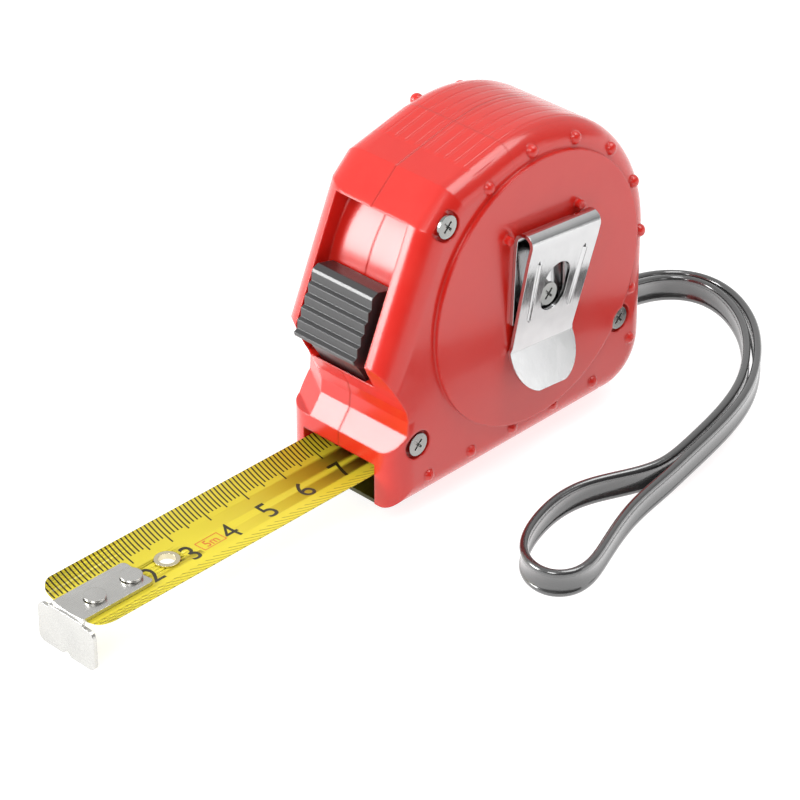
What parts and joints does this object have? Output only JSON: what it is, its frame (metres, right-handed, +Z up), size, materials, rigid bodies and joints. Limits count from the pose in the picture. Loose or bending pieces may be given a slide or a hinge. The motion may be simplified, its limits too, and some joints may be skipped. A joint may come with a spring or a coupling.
{
  "type": "tape measure",
  "caption": "Pocket tape measure: split red case, sprung reel, printed steel blade with end hook, sliding lock, belt clip and wrist strap.",
  "frame": {"origin": "on the base plane, under the reel axle, halfway across the case", "axes": "+Z up from the base, -X the way the blade leaves, -Y the side with the belt clip"},
  "size_m": [0.1771, 0.076, 0.0733],
  "materials": {
    "red_abs": "glossy moulded ABS, slightly translucent",
    "black_abs": "fine spark texture",
    "white_plastic": "plain moulded",
    "yellow_blade": "clear-coated enamel on spring steel, printed scale",
    "steel": "zinc plated",
    "dark_steel": "oiled",
    "chromed_steel": "bright plated",
    "black_vinyl": "semi-gloss, fine grain"
  },
  "bodies": {
    "case": {"case_clip_side": "red_abs", "case_plain_side": "red_abs", "mouth_plate": "dark_steel", "arbor": "steel", "belt_clip": "chromed_steel", "clip_screw": "steel", "case_screw_top": "steel", "case_screw_nose": "steel", "case_screw_rear": "steel", "strap_pin": "steel", "wrist_strap": "black_vinyl", "blade_run": "yellow_blade"},
    "lock": {"lock_button": "black_abs"},
    "reel": {"reel_drum": "white_plastic", "drum_cover": "white_plastic", "mainspring": "dark_steel", "blade_coil": "yellow_blade"},
    "blade": {"blade_end": "yellow_blade", "hook_rivets": "steel", "blade_eyelet": "steel"},
    "hook": {"end_hook": "steel"}
  },
  "joints": [
    {"name": "blade_slide", "type": "slide", "parent": "case", "child": "blade", "axis": [-1, 0, 0], "range_m": [-0.069, 0], "deforming": ["blade_run"]},
    {"name": "hook_play", "type": "slide", "parent": "blade", "child": "hook", "axis": [1, 0, 0], "range_m": [0, 0.0008]},
    {"name": "reel_spin", "type": "hinge", "parent": "case", "child": "reel", "pos_m": [0, 0, 0.035], "axis": [0, 1, 0], "range_deg": [-145, 5]},
    {"name": "lock_slide", "type": "slide", "parent": "case", "child": "lock", "axis": [0.4083, 0, 0.9128], "range_m": [0, 0.008]}
  ],
  "couplings": [
    {"joint": "reel_spin", "follows": "blade_slide", "rad_per_m": 35.46}
  ]
}
